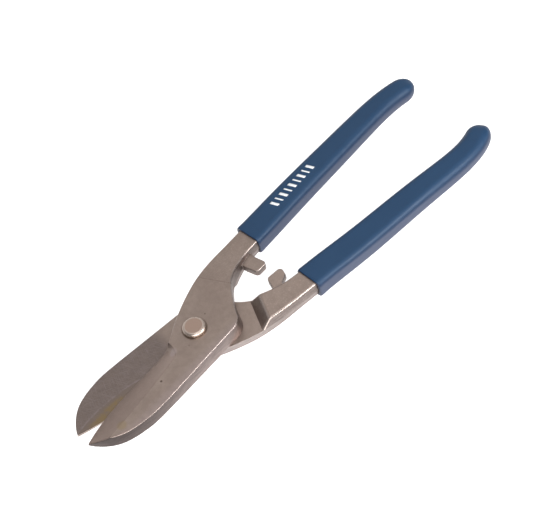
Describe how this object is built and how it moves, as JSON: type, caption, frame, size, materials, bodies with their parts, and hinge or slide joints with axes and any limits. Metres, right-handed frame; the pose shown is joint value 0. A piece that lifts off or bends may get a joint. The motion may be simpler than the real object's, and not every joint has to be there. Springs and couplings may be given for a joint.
{
  "type": "tin snips",
  "caption": "Hand snips for sheet metal: forged halves with broad straight blades on a bolted pivot, stop lugs and sleeved handles that bend in at the ends.",
  "frame": {"origin": "on the pivot axis, in the shear plane where the two halves slide on each other", "axes": "+X from the pivot towards the blade tips, +Z along the pivot axis out of the bolt head"},
  "size_m": [0.2484, 0.0686, 0.0255],
  "materials": {
    "forged_steel": "satin",
    "grip_vinyl": "satin",
    "plated_bolt": "polished",
    "plated_hardware": "zinc plated"
  },
  "bodies": {
    "lower_half": {"lower_blade": "forged_steel", "lower_grip": "grip_vinyl"},
    "upper_half": {"upper_blade": "forged_steel", "upper_grip": "grip_vinyl", "pivot_bolt": "plated_bolt", "thrust_washer": "plated_hardware", "pivot_nut": "plated_hardware", "lock_nut": "plated_hardware"}
  },
  "joints": [
    {"name": "blade_pivot", "type": "hinge", "parent": "lower_half", "child": "upper_half", "pos_m": [0, 0, 0], "axis": [0, 0, 1], "range_deg": [-7.7, 32]}
  ]
}
